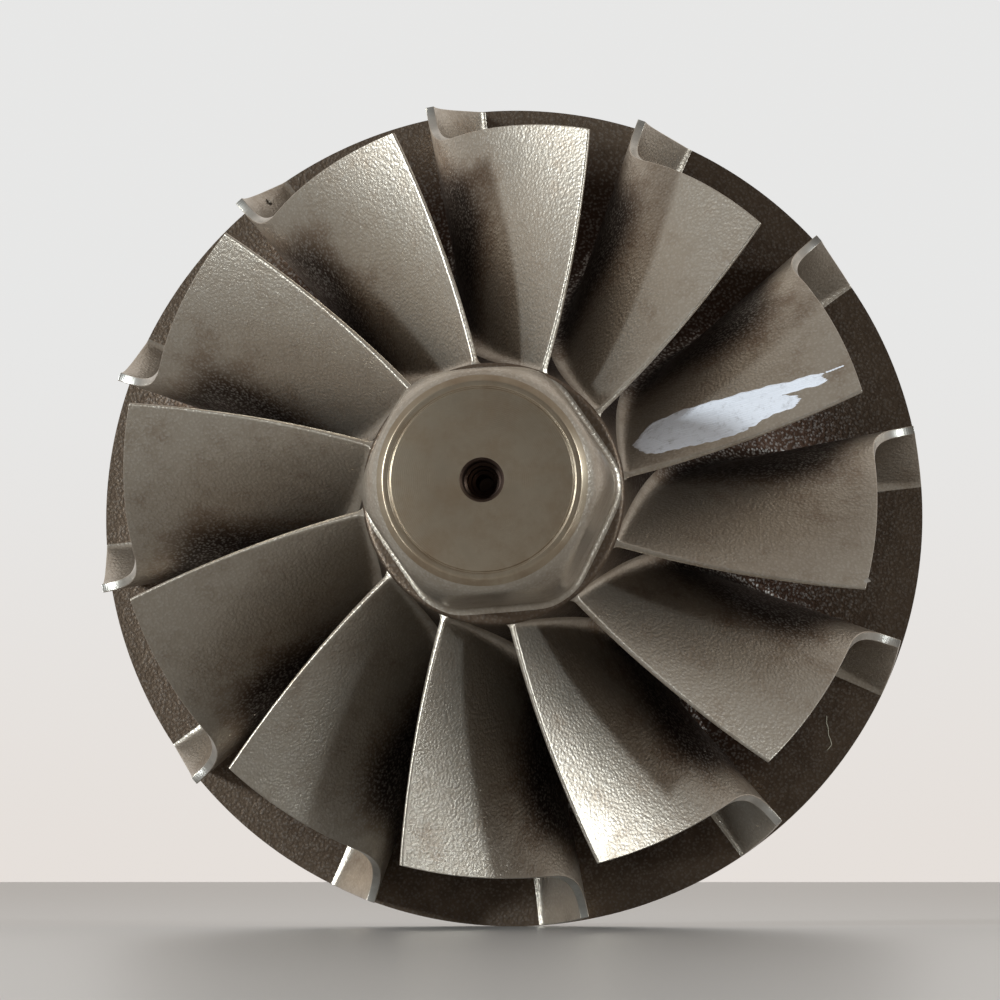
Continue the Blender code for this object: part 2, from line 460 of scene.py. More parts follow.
@dataclass(frozen=True)
class BladeShape:
    """The form that all twelve blades share. Angles are in degrees from the blade's inlet corner."""

    path: FlowPath = FlowPath()
    inlet_lean: float = -5.5
    inlet_lean_power: float = 1.7
    wrap: float = -25.1
    wrap_power: float = 1.9
    exit_lean: float = -0.5
    root_thickness: tuple[float, float, float] = (0.0013, 0.0021, 0.0007)
    tip_thickness: tuple[float, float, float] = (0.00088, 0.00088, 0.00042)
    taper_power: float = 1.5
    fillet: tuple[float, float, float] = (0.00035, 0.0016, 0.0007)
    edge_round: float = 0.00007
    exit_round: float = 0.00018
    along: int = 84
    across: int = 30

    def camber(self, radius: Array, station: Array) -> Array:
        """Gives the angle of the blade's middle surface, in radians from its inlet corner."""
        path = self.path
        below = np.clip((path.inlet_width - station) / path.inlet_width, 0.0, None)
        beyond = np.clip((station - path.inlet_width) / (path.exit_station - path.inlet_width), 0.0, None)
        inward = np.clip((path.exit_radius - radius) / (path.exit_radius - path.hub_exit_radius), 0.0, 1.2)
        rise = np.clip(station / path.exit_station, 0.0, None)
        angle = self.inlet_lean * below**self.inlet_lean_power
        angle = angle + self.wrap * beyond**self.wrap_power + self.exit_lean * inward * rise
        return np.radians(angle)

    def shares(self) -> Array:
        """Gives the shares along the blade, close together where its edges are rounded."""
        near = np.array([0.0, 0.0003, 0.0010, 0.0022, 0.0040])
        far = 1.0 - np.array([0.0085, 0.0060, 0.0040, 0.0022, 0.0010, 0.0003, 0.0])
        return np.concatenate([near, np.linspace(0.008, 0.985, self.along), far])

    def heights(self, span: Array) -> Array:
        """Gives the heights above the hub of each row of points, close together in the fillet and at the edge.

        Args:
            span: The blade's height from hub to shroud at each share.

        Returns:
            Heights in metres, by share and row.
        """
        low = np.array([-0.25, -0.1, 0.0, 0.02, 0.06, 0.13, 0.24, 0.40, 0.62, 0.90, 1.25, 1.7]) * 0.001
        edge = np.array([0.14, 0.07, 0.035, 0.015, 0.004, 0.0]) * 0.001
        middle = np.linspace(0.0, 1.0, self.across + 2)[1:-1]
        start, end = low[-1], span[:, None] - edge[0]
        rows = [np.broadcast_to(low, (len(span), len(low))), start + (end - start) * middle, span[:, None] - edge]
        return np.concatenate(rows, axis=1)

    def line(self, share: Array, height: Array) -> tuple[Array, Array, Array]:
        """Gives the radius and station at a height above the hub, and the span there."""
        hub_radius, hub_station = self.path.hub(share)
        tip_radius, tip_station = self.path.shroud(share)
        span = np.hypot(tip_radius - hub_radius, tip_station - hub_station)
        part = height / span
        return hub_radius + (tip_radius - hub_radius) * part, hub_station + (tip_station - hub_station) * part, span

    def point(self, share: Array, height: Array, face: Face, first_angle: float, lift: float = 0.0) -> Array:
        """Gives points on one face of a blade.

        The blade's end is square to its own surface, so towards the exit its thickness lies behind the seen face.

        Args:
            share: Shares along the blade, from inlet to exit.
            height: Heights above the hub, in metres.
            face: Which face.
            first_angle: Angle of the blade's inlet corner, in radians.
            lift: Distance to stand proud of the face.

        Returns:
            Points in the frame.
        """
        radius, station, span = self.line(share, height)
        whole = np.clip(share, 0.0, 1.0)
        part = np.clip(height / span, 0.0, 1.0)
        tip, root = self._along(self.tip_thickness, whole), self._along(self.root_thickness, whole)
        thickness = tip + (root - tip) * (1 - part) ** self.taper_power
        behind = 0.5 + 0.5 * ease(whole)
        out = thickness * (behind if face is Face.BEHIND else 1 - behind) + lift
        out = out - rounding(span - height, self.edge_round) - rounding(share * 0.040, self.edge_round)
        out = out - rounding((1 - share) * 0.040, self.exit_round)
        fillet = self._along(self.fillet, whole)
        near = np.clip(fillet - np.clip(height, 0.0, None), 0.0, fillet)
        flare = fillet - np.sqrt(fillet**2 - near**2)
        round_part, axial_part = self._normal(np.clip(share, 0.004, 0.9915), height)
        square = ease((whole - 0.45) / 0.40)
        length = out / np.clip(round_part**2 + square * axial_part**2, 0.15, None)
        angle = first_angle + self.camber(radius, station)
        angle = angle + face.value * (length * round_part + flare) / radius
        return place(radius, angle, station + face.value * length * square * axial_part)

    @staticmethod
    def _along(values: tuple[float, float, float], share: Array) -> Array:
        """Runs a size smoothly through its values at the inlet, the middle and the exit."""
        inlet, middle, outlet = values
        first = inlet + (middle - inlet) * ease(share / 0.35)
        return first + (outlet - middle) * ease((share - 0.60) / 0.40)

    def _normal(self, share: Array, height: Array) -> tuple[Array, Array]:
        """Gives the parts of the middle surface's normal that point round the axis and along it."""
        tiny = 1e-5

        def at(s: Array, h: Array) -> Array:
            radius, station, _ = self.line(s, h)
            return place(radius, self.camber(radius, station), station)

        normal = np.cross(
            at(share + tiny, height) - at(share - tiny, height),
            at(share, height + tiny) - at(share, height - tiny),
        )
        normal /= np.linalg.norm(normal, axis=-1, keepdims=True)
        radius, station, _ = self.line(share, height)
        angle = self.camber(radius, station)
        round_part = normal[..., 2] * np.cos(angle) - normal[..., 0] * np.sin(angle)
        return np.abs(round_part), -normal[..., 1] * np.sign(round_part)


@dataclass
class BladeRing:
    """The twelve blades, cast in one with the hub."""

    count: int = 12
    first_angle: float = 100.8
    shape: BladeShape = field(default_factory=BladeShape)

    def angle(self, number: int) -> float:
        """Gives the angle of a blade's inlet corner in radians, for blades numbered from 1."""
        return math.radians(self.first_angle - 360 / self.count * (number - 1))

    def depth(self, share: Array, height: Array) -> Array:
        """Gives how deep in its passage each point of a blade lies, which darkens the skin there: partly soot, partly
        painted shade.
        """
        _, _, span = self.shape.line(share, height)
        part = np.clip(height / span, 0.0, 1.0)
        inside = ease((share - 0.10) / 0.18) * ease((0.84 - share) / 0.34)
        return np.clip(inside * ease((1.03 - part) / 0.55) * 1.1, 0.0, 1.0)

    def build(self, cast: bpy.types.Material, cut: bpy.types.Material) -> list[bpy.types.Object]:
        """Builds the blades.

        Args:
            cast: Finish of the blades' faces.
            cut: Finish of their turned outer edges.

        Returns:
            The blades, in order.
        """
        shape = self.shape
        shares = shape.shares()
        _, _, span = shape.line(shares, np.zeros_like(shares))
        height = shape.heights(span)
        share = np.broadcast_to(shares[:, None], height.shape)
        depth = self.depth(share, height)
        made = []
        for number in range(1, self.count + 1):
            piece = Piece(f"blade_{number:02d}", Slot.CAST)
            start = self.angle(number)
            rows, columns = height.shape
            numbers = []
            for face in Face:
                first = piece.add_points(shape.point(share, height, face, start), depth)
                numbers.append(first + np.arange(rows * columns).reshape(rows, columns))
            seen, behind = numbers
            piece.add_faces(self._quads(seen, flip=False))
            piece.add_faces(self._quads(behind, flip=True))
            loop = [
                (seen[:, -1], behind[:, -1], 1),
                (behind[:, 0], seen[:, 0], 0),
                (behind[0], seen[0], 0),
                (seen[-1], behind[-1], 0),
            ]
            for near, far, finish in loop:
                strip = np.stack([near[:-1], far[:-1], far[1:], near[1:]], axis=-1)
                piece.add_faces(strip, finish)
            made.append(piece.finish([cast, cut], sharp=50.0, replaces="wheel_casting"))
        return made

    @staticmethod
    def _quads(number: Array, flip: bool) -> Array:
        """Gives the quads of a grid of points, turned over if asked."""
        quads = np.stack([number[:-1, :-1], number[1:, :-1], number[1:, 1:], number[:-1, 1:]], axis=-1)
        quads = quads.reshape(-1, 4)
        return quads[:, ::-1] if flip else quads


@dataclass
class PaintStroke:
    """A stroke of white paint along the end of one blade, laid as the trails that the bristles left.

    The edges run through points of (share of the span, share along the blade).
    """

    ring: BladeRing
    blade: int = 3
    trails: int = 17
    upper: tuple[tuple[float, float], ...] = (
        (0.04, 0.892), (0.09, 0.868), (0.15, 0.851), (0.28, 0.853), (0.44, 0.870), (0.63, 0.886), (0.74, 0.899),
        (0.90, 0.909),
    )
    lower: tuple[tuple[float, float], ...] = (
        (0.04, 0.917), (0.075, 0.940), (0.145, 0.958), (0.26, 0.965), (0.37, 0.974), (0.60, 0.978), (0.70, 0.974),
        (0.80, 0.990), (0.90, 0.996),
    )
    thickness: float = 0.00007
    half_width: float = 0.0060
    seed: int = 5

    def end(self, across: float, chance: float) -> float:
        """Gives where a trail ends, as a share of the span.

        Args:
            across: Place of the trail, from 0 at the upper edge to 1 at the lower.
            chance: A random number from 0 to 1.

        Returns:
            The share of the span.
        """
        if across < 0.27:
            return 0.872 + 0.012 * chance
        if across < 0.50:
            return 0.690 + 0.030 * chance
        if across < 0.86:
            return 0.765 - 0.25 * (across - 0.5) ** 2 - 0.015 * chance
        return 0.62 - 0.10 * chance

    def trail(self, piece: Piece, across: float, start: float, end: float, width: float, height: float) -> None:
        """Lays one trail of paint on the blade's seen face.

        Args:
            piece: The piece that takes the trail.
            across: Place of the trail, from 0 at the upper edge to 1 at the lower.
            start: Share of the span at which it starts.
            end: Share of the span at which it ends.
            width: Half its width, as a share along the blade.
            height: Its thickness in metres.
        """
        shape = self.ring.shape
        run = np.linspace(0.0, 1.0, 90)
        part = start + (end - start) * run
        upper = np.interp(part, *np.array(self.upper).T)
        lower = np.interp(part, *np.array(self.lower).T)
        middle = upper + (lower - upper) * across
        taper = np.sqrt(np.clip(np.minimum(run / 0.035, (1 - run) / 0.05), 0.0, 1.0))
        uneven = 1.0 + 0.22 * np.sin(run * 37 + across * 90) + 0.12 * np.sin(run * 83 + across * 50)
        side = np.array([-1.0, -0.75, -0.4, 0.0, 0.4, 0.75, 1.0])
        share = middle[:, None] + side * (width * taper * uneven)[:, None]
        share = np.minimum(share, 0.9985)
        _, _, span = shape.line(share, np.zeros_like(share))
        level = part[:, None] * span
        crown = height * (1 - side**2) * taper[:, None]
        rows = []
        for column in range(len(side)):
            rows.append([share[:, column], level[:, column], crown[:, column]])
        for column in (-1, 0):
            rows.append([share[:, column], level[:, column], np.full(len(run), -0.00004)])
        start_angle = self.ring.angle(self.blade)
        loops = []
        for along, above, lift in rows:
            flat = shape.point(along, above, Face.SEEN, start_angle)
            proud = shape.point(along, above, Face.SEEN, start_angle, 0.0001)
            loops.append(flat + (proud - flat) * (lift / 0.0001)[:, None])
        grid = np.stack(loops)
        first, last = piece.add_turned(Sheet(grid.transpose(1, 0, 2), np.zeros(grid.shape[1::-1])))
        piece.close(first, grid[:, 0].mean(0), flip=True)
        piece.close(last, grid[:, -1].mean(0))

    def build(self, paint: bpy.types.Material) -> bpy.types.Object:
        """Builds the stroke.

        Args:
            paint: Finish of the paint.

        Returns:
            The piece.
        """
        piece = Piece("white_paint_stroke", Slot.CAST)
        chance = np.random.default_rng(self.seed)
        for number in range(self.trails):
            across = number / (self.trails - 1)
            ragged = chance.uniform(0.0, 1.0, 3)
            start = 0.045 + 0.05 * (2 * across - 1) ** 2 + 0.012 * ragged[0]
            self.trail(piece, across, start, self.end(across, ragged[1]), self.half_width * (0.85 + 0.4 * ragged[2]),
                       self.thickness * (0.8 + 0.5 * ragged[0]))
        self.trail(piece, -0.02, 0.885, 0.965, 0.0022, self.thickness * 0.6)
        return piece.finish([paint], sharp=60.0)


@dataclass
class CastingMarks:
    """Small marks of casting and handling: a pit, a burr and a fibre stuck to the back plate."""

    ring: BladeRing
    pit_blade: int = 12
    pit_share: float = 0.035
    pit_height: float = 0.0035
    pit_radius: float = 0.00042
    burr_blade: int = 4
    burr_length: float = 0.0007
    fibre_radius: float = 0.00005
    fibre: tuple[tuple[float, float], ...] = (
        (0.03906, -32.6), (0.03945, -33.6), (0.03990, -34.1), (0.04030, -34.9), (0.04075, -35.3), (0.04120, -35.8),
        (0.04112, -36.9),
    )

    def pit(self, cast: bpy.types.Material, soot_and_shade: bpy.types.Material) -> bpy.types.Object:
        """Builds the lip and floor of the pit on a blade's rear face."""
        piece = Piece("casting_pit", Slot.CAST)
        shape, start = self.ring.shape, self.ring.angle(self.pit_blade)

        def at(share: float, height: float, lift: float = 0.0) -> Vector:
            spot = shape.point(np.array(share), np.array(height), Face.BEHIND, start, lift)
            return Vector(spot.tolist())

        centre = at(self.pit_share, self.pit_height)
        out = (at(self.pit_share, self.pit_height, 0.0005) - centre).normalized()
        side = (at(self.pit_share, self.pit_height + 0.0005) - centre).normalized()
        other = out.cross(side).normalized()
        side = other.cross(out)
        profile = [(0.25, 0.00001), (0.55, 0.00001), (0.74, 0.00004), (0.86, 0.00008), (1.0, 0.00005), (1.12, -0.00012)]
        turn = np.linspace(0.0, 2 * np.pi, 28, endpoint=False)
        rows = []
        for reach, rise in profile:
            ring = [centre + out * rise + (side * math.cos(a) + other * math.sin(a)) * self.pit_radius * reach
                    for a in turn]
            rows.append(np.array([list(spot) for spot in ring]))
        first, last = piece.add_turned(Sheet(np.stack(rows), np.zeros((len(rows), len(turn)))))
        piece.close(first, list(centre + out * 0.00001), flip=True)
        piece.close(last, list(centre - out * 0.00012))
        # the pit's floor takes the darker sooted skin: painted shade in the hollow, with soot
        piece.finishes[: 2 * len(turn)] = [1] * (2 * len(turn))
        return piece.finish([cast, soot_and_shade])

    def burr(self, finish: bpy.types.Material) -> bpy.types.Object:
        """Builds the burr at the outer corner of a blade's end."""
        piece = Piece("edge_burr", Slot.CAST)
        shape, start = self.ring.shape, self.ring.angle(self.burr_blade)
        share = np.array([0.968, 0.974, 0.980, 0.986, 0.980, 0.974])
        _, _, span = shape.line(share, np.zeros_like(share))
        foot = shape.point(share, span - np.array([0.1, 0.3, 0.35, 0.2, 0.05, 0.02]) * 0.001, Face.SEEN, start)
        tip = foot.mean(0) * np.array([1.0, 1.0, 1.0])
        tip = tip + np.array([tip[0], 0.0, tip[2]]) / np.hypot(tip[0], tip[2]) * self.burr_length * 0.75
        tip = tip + np.array([0.0, -self.burr_length * 0.3, 0.0])
        ring = piece.add_points(foot, np.zeros(6)) + np.arange(6)
        piece.close(ring, tip)
        piece.close(ring, foot.mean(0) + np.array([0.0, 0.0003, 0.0]), flip=True)
        return piece.finish([finish])

    def stuck_fibre(self, finish: bpy.types.Material) -> bpy.types.Object:
        """Builds the fibre on the front of the back plate."""
        piece = Piece("stuck_fibre", Slot.CAST)
        path = self.ring.shape.path
        marks = np.array(self.fibre)
        run = np.linspace(0.0, len(marks) - 1.0, 60)
        radius, angle = (np.interp(run, np.arange(len(marks)), column) for column in marks.T)
        smooth = np.ones(7) / 7
        radius[3:-3], angle[3:-3] = (np.convolve(column, smooth, "valid") for column in (radius, angle))
        share = np.arcsin(np.clip((path.rim_radius - radius) / (path.rim_radius - path.hub_exit_radius), 0, 1)) * 2 / np.pi
        _, station = path.hub(share)
        line = place(radius, np.radians(angle), station + self.fibre_radius * 0.8)
        along = np.gradient(line, axis=0)
        along /= np.linalg.norm(along, axis=1, keepdims=True)
        side = np.cross(along, np.array([0.0, -1.0, 0.0]))
        side /= np.linalg.norm(side, axis=1, keepdims=True)
        up = np.cross(side, along)
        turn = np.linspace(0.0, 2 * np.pi, 8, endpoint=False)
        size = self.fibre_radius * np.sqrt(np.clip(np.minimum(run, run[::-1]) / 0.3, 0.05, 1.0))
        rows = line[:, None] + size[:, None, None] * (
            np.cos(turn)[None, :, None] * side[:, None] + np.sin(turn)[None, :, None] * up[:, None]
        )
        first, last = piece.add_turned(Sheet(rows, np.zeros(rows.shape[:2])))
        piece.close(first, line[0], flip=True)
        piece.close(last, line[-1])
        return piece.finish([finish])

    def build(
        self, cast: bpy.types.Material, soot_and_shade: bpy.types.Material, cut: bpy.types.Material, fibre: bpy.types.Material
    ) -> None:
        """Builds the three marks.

        Args:
            cast: Finish of the pit's lip.
            soot_and_shade: Finish of the pit's floor, darker for soot and for painted shade in the hollow.
            cut: Finish of the burr.
            fibre: Finish of the fibre.
        """
        self.pit(cast, soot_and_shade)
        self.burr(cut)
        self.stuck_fibre(fibre)


def turned_rows(profile: Sequence[tuple[float, float]], steps: int) -> Array:
    """Carries a profile of (radius, station) round the axis.

    Args:
        profile: The profile, from top to bottom on the outer side.
        steps: Number of columns round the axis.

    Returns:
        Points by row and column.
    """
    angle = np.linspace(0.0, 2 * np.pi, steps, endpoint=False)
    line = np.array(profile)
    return place(line[:, :1], angle[None, :], line[:, 1:])


def rounded(corners: Sequence[tuple[float, float, float]], cuts: int = 5) -> list[tuple[float, float]]:
    """Rounds the corners of a profile.

    Args:
        corners: Radius, station and rounding of each corner.
        cuts: Number of short sides that take the place of a rounded corner.

    Returns:
        The profile with its corners rounded.
    """
    line: list[tuple[float, float]] = []
    for number, (radius, station, size) in enumerate(corners):
        here = Vector((radius, station))
        if size <= 0 or number in (0, len(corners) - 1):
            line.append((radius, station))
            continue
        before = (Vector(corners[number - 1][:2]) - here).normalized() * size
        after = (Vector(corners[number + 1][:2]) - here).normalized() * size
        for cut in range(cuts + 1):
            share = cut / cuts
            near = here + before * (1 - share) ** 2 + after * share**2
            line.append((near.x, near.y))
    return line


@dataclass
class Hub:
    """Back plate, hub and weld boss, turned about the spin axis, up to the ledge under the hexagon."""

    path: FlowPath = field(default_factory=FlowPath)
    steps: int = 288
    ledge_radius: float = 0.0131
    ledge_station: float = 0.0311
    rim_back: float = -0.0026
    back_step_radius: float = 0.0290
    back_step_station: float = -0.0032
    weld_boss_radius: float = 0.0108
    weld_boss_root: float = -0.0048
    weld_station: float = -0.0090

    def flow(self) -> list[tuple[float, float]]:
        """Gives the profile of the flow surface, from the exit down to the rim."""
        radius, station = self.path.hub(np.linspace(1.0, 0.0, 73))
        return list(zip(radius.tolist(), station.tolist()))

    def top(self) -> list[tuple[float, float]]:
        """Gives the profile of the ledge and the boss below it."""
        radius, station = self.ledge_radius, self.ledge_station
        return rounded([
            (0.0090, station, 0.0),
            (radius, station, 0.0007),
            (radius - 0.0001, station - 0.0013, 0.0004),
            (self.path.hub_exit_radius, self.path.hub_exit_station, 0.0),
        ])

    def back(self) -> list[tuple[float, float]]:
        """Gives the profile from the rim's front face round to the weld."""
        rim, boss = self.path.rim_radius, self.weld_boss_radius
        return rounded([
            (rim - 0.0002, 0.0, 0.0),
            (rim, -0.0002, 0.00012),
            (rim, self.rim_back, 0.0003),
            (self.back_step_radius, self.rim_back, 0.0004),
            (self.back_step_radius - 0.0012, self.back_step_station, 0.0004),
            (boss + 0.0030, self.weld_boss_root + 0.0008, 0.0012),
            (boss + 0.0008, self.weld_boss_root - 0.0004, 0.0008),
            (boss, self.weld_boss_root - 0.0016, 0.0006),
            (boss, self.weld_station, 0.00025),
            (0.0050, self.weld_station, 0.0),
        ])

    def build(self, cast: bpy.types.Material, rim: bpy.types.Material, lathe: bpy.types.Material) -> bpy.types.Object:
        """Builds the hub with its back plate.

        Args:
            cast: Finish of the flow surface and the ledge, a darker skin that is partly soot and partly painted shade.
            rim: Finish of the rim.
            lathe: Finish of the turned back.

        Returns:
            The piece.
        """
        piece = Piece("hub_and_back_plate", Slot.CAST)
        top, flow, back = self.top(), self.flow()[1:], self.back()[1:]
        profile = top + flow + back
        rows = turned_rows(profile, self.steps)
        share = np.concatenate([np.zeros(len(top)), np.linspace(1.0, 0.0, len(flow)), np.zeros(len(back))])
        # painted shade with soot: the flow surface is darkest midway from the rim to the exit, where the passages are
        # deepest
        depth = np.sin(np.pi * np.clip(share, 0.0, 1.0)) ** 0.7
        first, last = piece.add_turned(Sheet(rows, depth[:, None] * np.ones(self.steps)))
        rim_row = len(top) + len(flow) - 1
        for number in range(len(profile) - 1):
            start = number * self.steps
            if number >= rim_row:
                finish = 1 if profile[number][1] > self.rim_back + 0.0004 else 2
                piece.finishes[start:start + self.steps] = [finish] * self.steps
        piece.close(first, (0.0, -profile[0][1], 0.0), flip=True)
        piece.close(last, (0.0, -profile[-1][1], 0.0), 2)
        return piece.finish([cast, rim, lathe], replaces="wheel_casting")


@dataclass
class HexagonNose:
    """The hexagon by which the wheel is held, with its domed shoulder, turned end face and centre hole."""

    steps: int = 360
    ledge_radius: float = 0.0131
    ledge_station: float = 0.0311
    station: float = 0.0480
    groove_radius: float = 0.00875
    groove_width: float = 0.00028
    groove_depth: float = 0.00014
    land_radius: float = 0.00955
    bevel_radius: float = 0.01015
    bevel_depth: float = 0.00055
    shoulder_length: float = 0.0062
    apothem: float = 0.01115
    draft: float = 0.010
    corner_radius: float = 0.01212
    first_flat: float = 34.5
    softness: float = 0.0005
    fillet: float = 0.0007
    hole_radius: float = 0.00185
    hole_steps: tuple[tuple[float, float], ...] = ((0.00185, 0.0020), (0.00150, 0.0028), (0.00118, 0.0036), (0.0008, 0.0080))

    def across(self, angle: Array, station: Array) -> Array:
        """Gives the radius of the sharp hexagon, which tapers a little towards the nose."""
        turn = (angle - math.radians(self.first_flat) + np.pi / 6) % (np.pi / 3) - np.pi / 6
        return (self.apothem - self.draft * (station - self.ledge_station)) / np.cos(turn)

    def hole(self) -> list[tuple[float, float, float]]:
        """Gives the corners of the centre hole, from its bottom to its mouth."""
        top = self.station
        corners = [(0.0003, top - self.hole_steps[-1][1], 0.0)]
        for (radius, depth), (_, above) in reversed(list(zip(self.hole_steps[1:], self.hole_steps))):
            corners += [(radius, top - depth, 0.00008), (radius, top - above - 0.00025, 0.00008)]
        corners += [
            (self.hole_radius, top - self.hole_steps[0][1], 0.00008),
            (self.hole_radius, top - 0.00030, 0.00012),
            (self.hole_radius + 0.00030, top, 0.00010),
        ]
        return corners

    def face(self) -> list[tuple[float, float, float]]:
        """Gives the corners of the end face: a shallow ring groove, a land and a bevel."""
        top, groove, wide, deep = self.station, self.groove_radius, self.groove_width, self.groove_depth
        return [
            (self.hole_radius * 2.2, top, 0.0),
            (groove, top, 0.00006),
            (groove + wide * 0.3, top - deep, 0.00005),
            (groove + wide * 0.7, top - deep, 0.00005),
            (groove + wide, top - 0.00004, 0.00006),
            (self.land_radius, top - 0.00005, 0.00012),
            (self.bevel_radius, top - self.bevel_depth, 0.00010),
        ]

    def shoulder(self) -> list[tuple[float, float]]:
        """Gives the profile of the domed shoulder between the bevel and the corners of the hexagon."""
        start, top = self.bevel_radius + 0.00012, self.station - self.bevel_depth - 0.00012
        turns = np.linspace(0.32, math.pi / 2, 16)
        radius = start + (self.corner_radius - start) * (np.sin(turns) - math.sin(0.32)) / (1 - math.sin(0.32))
        station = top - self.shoulder_length * (math.cos(0.32) - np.cos(turns)) / math.cos(0.32)
        return list(zip(radius.tolist(), station.tolist()))

    def build(self, cast: bpy.types.Material, lathe: bpy.types.Material, bore: bpy.types.Material) -> bpy.types.Object:
        """Builds the nose.

        Args:
            cast: Finish of the shoulder, flats and fillets.
            lathe: Finish of the end face and the bevel.
            bore: Finish of the centre hole.

        Returns:
            The piece.
        """
        piece = Piece("hexagon_nose", Slot.CAST)
        angle = np.linspace(0.0, 2 * np.pi, self.steps, endpoint=False)
        hole, face = rounded(self.hole(), 4), rounded(self.face(), 4)
        bottom, limit = self.ledge_station, np.full_like(angle, self.ledge_radius - 0.0003)
        rows = [place(np.full_like(angle, radius), angle, station) for radius, station in hole + face]
        finishes = [2] * (len(hole) - 1) + [1] * len(face)

        def outline(radius: float, station: float) -> Array:
            return smooth_least(np.full_like(angle, radius), self.across(angle, station), self.softness)

        sides = self.shoulder()
        sides += [(self.corner_radius, z) for z in np.linspace(sides[-1][1], bottom + self.fillet, 12)[1:-1]]
        for radius, station in sides:
            rows.append(place(outline(radius, station), angle, station))
        for turn in np.linspace(0.0, np.pi / 2, 9):
            station = bottom + self.fillet * (1 - math.sin(turn))
            flare = self.fillet * (1 - math.cos(turn))
            rows.append(place(smooth_least(outline(self.corner_radius, station) + flare, limit, 0.0004), angle, station))
        rows.append(place(smooth_least(outline(self.corner_radius, bottom) + self.fillet, limit, 0.0004),
                          angle, bottom - 0.0003))
        first, last = piece.add_turned(Sheet(np.stack(rows), np.zeros((len(rows), self.steps))))
        finishes += [0] * (len(rows) - 1 - len(finishes))
        piece.finishes = [finish for finish in finishes for _ in range(self.steps)]
        piece.close(first, (0.0, -hole[0][1], 0.0), 2, flip=True)
        piece.close(last, (0.0, -bottom + 0.0003, 0.0))
        return piece.finish([cast, lathe, bore], sharp=35.0, replaces="wheel_casting")


@dataclass
class RotorShaft:
    """The turned steel shaft behind the wheel, from the weld to the threaded tail."""

    steps: int = 144
    weld_station: float = -0.0090
    weld_gap: float = 0.0003
    seal_radius: float = 0.0092
    seal_end: float = -0.0180
    groove_radius: float = 0.0078
    grooves: tuple[tuple[float, float], ...] = ((-0.0115, -0.0132), (-0.0150, -0.0167))
    journal_radius: float = 0.0070
    relief_radius: float = 0.0066
    journals: tuple[float, ...] = (-0.0205, -0.0360, -0.0560, -0.0715)
    stem_radius: float = 0.0045
    stem_end: float = -0.1180
    thread_radius: float = 0.0040
    thread_pitch: float = 0.00125
    thread_depth: float = 0.0007
    tail_station: float = -0.1370
    tail_chamfer: float = 0.0009

    def profile(self) -> list[tuple[float, float]]:
        """Gives the profile from the weld to the start of the thread."""
        seal, groove, journal, relief = self.seal_radius, self.groove_radius, self.journal_radius, self.relief_radius
        corners = [(0.0050, self.weld_station - self.weld_gap, 0.0), (seal, self.weld_station - self.weld_gap, 0.0001)]
        for near, far in self.grooves:
            corners += [(seal, near, 0.00008), (groove, near, 0.00015), (groove, far, 0.00015), (seal, far, 0.00008)]
        near, near_end, far, far_end = self.journals
        corners += [
            (seal, self.seal_end, 0.0002),
            (relief + 0.0006, self.seal_end, 0.0003),
            (relief, self.seal_end - 0.0008, 0.0003),
            (relief, near, 0.0001),
            (journal, near - 0.0004, 0.0001),
            (journal, near_end, 0.0001),
            (relief, near_end - 0.0004, 0.0001),
            (relief, far, 0.0001),
            (journal, far - 0.0004, 0.0001),
            (journal, far_end + 0.0005, 0.0001),
            (journal - 0.0005, far_end, 0.0001),
            (self.stem_radius, far_end, 0.0002),
            (self.stem_radius, self.stem_end, 0.0001),
            (self.thread_radius, self.stem_end - 0.0005, 0.0001),
        ]
        return rounded(corners, 3)

    def thread(self) -> Array:
        """Gives the rows of the threaded tail."""
        start, end = self.stem_end - 0.0006, self.tail_station
        station = np.linspace(start, end, 260)[:, None]
        angle = np.linspace(0.0, 2 * np.pi, self.steps, endpoint=False)[None, :]
        turn = (station / self.thread_pitch + angle / (2 * np.pi)) % 1.0
        groove = np.clip(1.15 - np.abs(turn - 0.5) * 3.2, 0.0, 1.0)
        fade = np.clip((start - station) / 0.0012, 0.0, 1.0)
        radius = self.thread_radius - self.thread_depth * groove * fade
        bevel = self.thread_radius - self.tail_chamfer + (station - end)
        return place(np.minimum(radius, bevel), angle, station)

    def build(self, steel: bpy.types.Material, bead: bpy.types.Material) -> list[bpy.types.Object]:
        """Builds the shaft and its weld bead.

        Args:
            steel: Finish of the shaft.
            bead: Finish of the weld.

        Returns:
            The two pieces.
        """
        piece = Piece("rotor_shaft_turned", Slot.STEEL)
        rows = np.concatenate([turned_rows(self.profile(), self.steps), self.thread()])
        first, last = piece.add_turned(Sheet(rows, np.zeros(rows.shape[:2])))
        piece.close(first, (0.0, -self.weld_station + self.weld_gap, 0.0), flip=True)
        piece.close(last, (0.0, -self.tail_station, 0.0))
        shaft = piece.finish([steel], sharp=30.0, replaces="rotor_shaft")
        return [shaft, self._bead(bead)]

    def _bead(self, finish: bpy.types.Material) -> bpy.types.Object:
        """Builds the rippled ring of the weld between the wheel and the shaft."""
        piece = Piece("weld_bead", Slot.STEEL)
        angle = np.linspace(0.0, 2 * np.pi, 288, endpoint=False)[None, :]
        turn = np.linspace(0.0, 2 * np.pi, 20, endpoint=False)[:, None]
        ripple = 1.0 + 0.05 * np.sin(angle * 60 + 1.5 * np.cos(turn))
        station = self.weld_station - self.weld_gap / 2 + 0.00075 * np.cos(turn)
        radius = self.seal_radius - 0.0001 + 0.00060 * ripple * np.sin(turn)
        rows = place(radius, angle, station)
        number = piece.add_points(rows, np.zeros(rows.shape[:2])) + np.arange(20 * 288).reshape(20, 288)
        beside, below = np.roll(number, -1, axis=1), np.roll(number, -1, axis=0)
        quads = np.stack([number, beside, np.roll(beside, -1, axis=0), below], axis=-1)
        piece.add_faces(quads.reshape(-1, 4)[:, ::-1])
        return piece.finish([finish])


